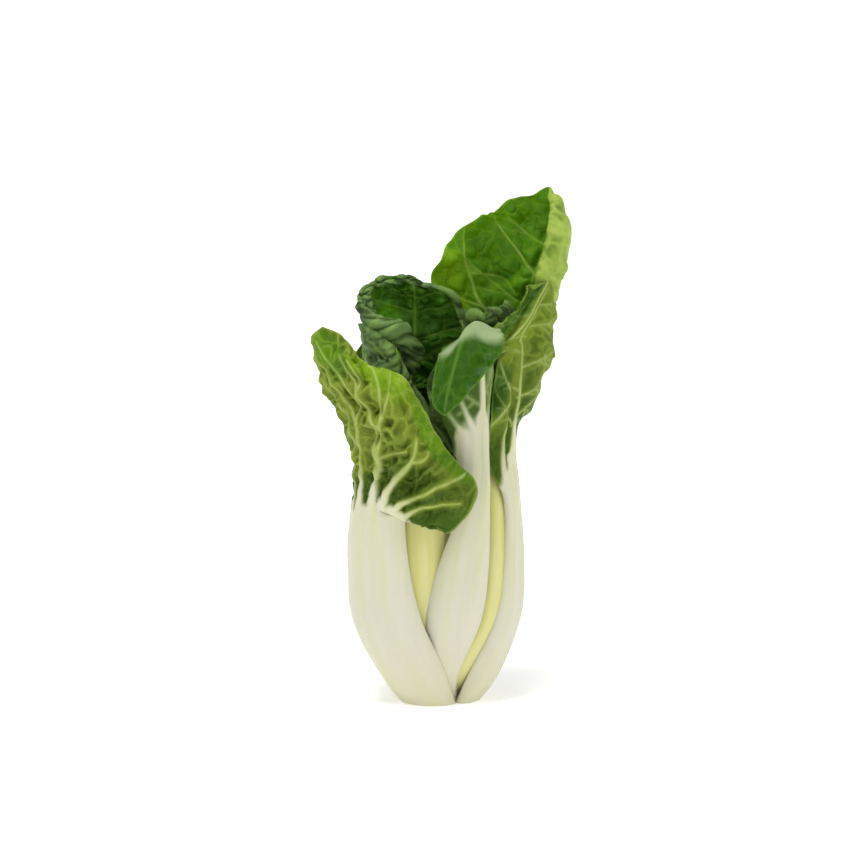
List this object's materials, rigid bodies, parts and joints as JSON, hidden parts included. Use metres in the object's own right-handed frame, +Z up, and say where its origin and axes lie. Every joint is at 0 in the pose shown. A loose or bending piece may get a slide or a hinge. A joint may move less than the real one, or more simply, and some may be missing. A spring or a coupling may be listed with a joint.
{
  "type": "bok choy",
  "caption": "Head of bok choy standing on its trimmed root end: broad white stalks round a short crown, opening into ruffled green leaves that flare and fold at the top.",
  "frame": {"origin": "centre of the flat trimmed root end that the head stands on", "axes": "+Z up along the stalks towards the leaf tips, +X to the right and -Y towards the viewer of the side with the wide folded leaf"},
  "size_m": [0.1105, 0.0962, 0.2183],
  "materials": {
    "crown": "moist cut plant tissue, pale yellow-green",
    "outer_leaf": "satin leaf, white stalk turning to olive green with raised pale veins",
    "middle_leaf": "satin leaf, white stalk turning to fresh green with pale veins",
    "inner_leaf": "waxy dark green blistered leaf on a pale stalk"
  },
  "bodies": {
    "root": {"root_crown": "crown", "leaf_front_left": "outer_leaf", "leaf_front_centre": "middle_leaf", "leaf_right": "outer_leaf", "leaf_back_right": "middle_leaf", "leaf_back_left": "outer_leaf", "leaf_back": "middle_leaf", "inner_front": "inner_leaf", "inner_left": "inner_leaf", "inner_right": "inner_leaf", "inner_centre": "inner_leaf", "heart_right": "inner_leaf", "heart_back": "inner_leaf"}
  },
  "joints": []
}
